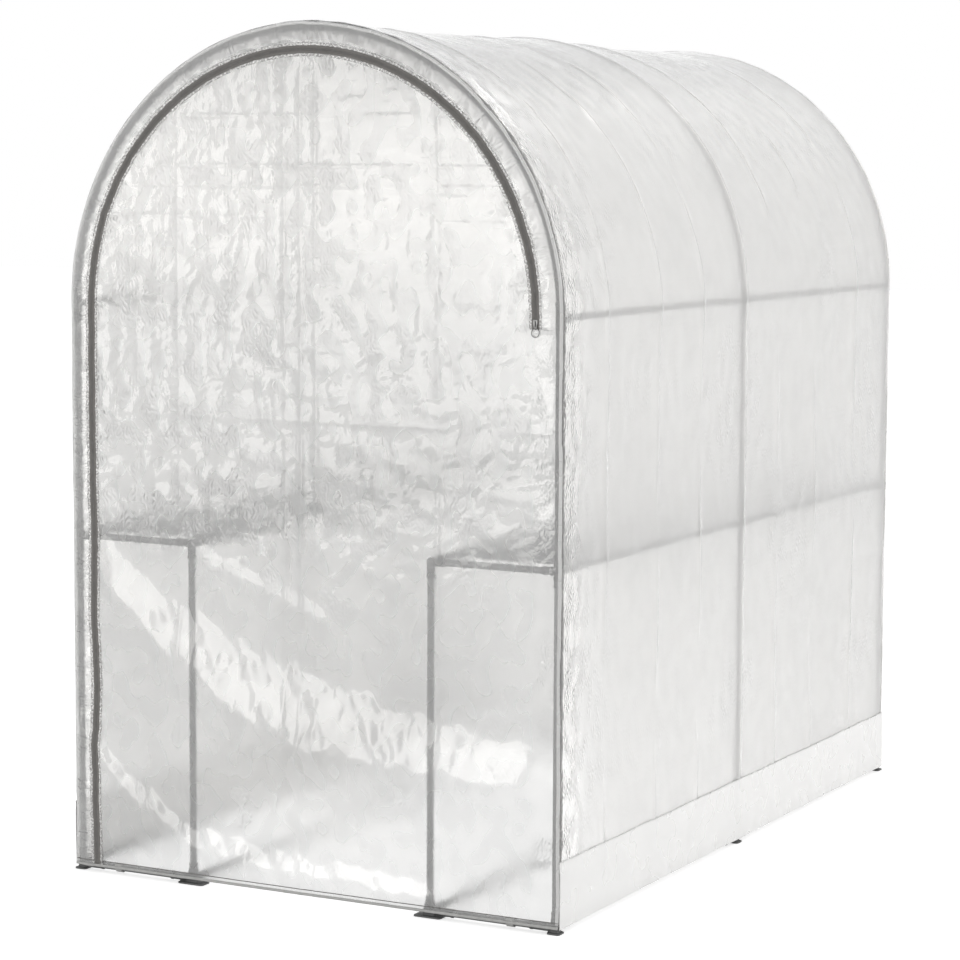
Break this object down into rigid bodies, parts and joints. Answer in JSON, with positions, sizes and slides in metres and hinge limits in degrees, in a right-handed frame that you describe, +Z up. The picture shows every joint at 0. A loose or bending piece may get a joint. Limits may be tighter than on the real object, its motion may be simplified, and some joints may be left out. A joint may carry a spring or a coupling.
{
  "type": "polytunnel greenhouse",
  "caption": "Walk-in polytunnel greenhouse: arched tube frame with wire shelves along both sides, under a clear film cover with a zipped door panel.",
  "frame": {"origin": "on the ground, at the middle of the tunnel's width and length", "axes": "+Z up, +X to the right seen from the zipped front, the front faces -Y"},
  "size_m": [1.314, 2.074, 2.024],
  "materials": {
    "tube": "satin",
    "fitting": "matte",
    "wire": "satin",
    "film": "glossy",
    "zip": "matte",
    "slider": "satin",
    "tie": "matte"
  },
  "bodies": {
    "root": {"front_hoop": "tube", "middle_hoop": "tube", "rear_hoop": "tube", "left_outer_posts": "tube", "left_inner_posts": "tube", "left_shoulder_rails": "tube", "left_outer_shelf_rails": "tube", "left_inner_shelf_rails": "tube", "left_outer_base_rails": "tube", "left_inner_base_rails": "tube", "left_wall_film": "film", "left_skirt": "film", "left_front_shelf": "wire", "left_rear_shelf": "wire", "right_outer_posts": "tube", "right_inner_posts": "tube", "right_shoulder_rails": "tube", "right_outer_shelf_rails": "tube", "right_inner_shelf_rails": "tube", "right_outer_base_rails": "tube", "right_inner_base_rails": "tube", "right_wall_film": "film", "right_skirt": "film", "right_front_shelf": "wire", "right_rear_shelf": "wire", "shelf_cross_rails": "tube", "base_cross_rails": "tube", "outer_feet": "fitting", "inner_feet": "fitting", "outer_shelf_fittings": "fitting", "inner_shelf_fittings": "fitting", "shoulder_fittings": "fitting", "roof_film": "film", "front_surround_film": "film", "door_film": "film", "rear_film": "film", "door_zip": "zip", "zip_slider": "slider", "cover_ties": "tie"}
  },
  "joints": []
}
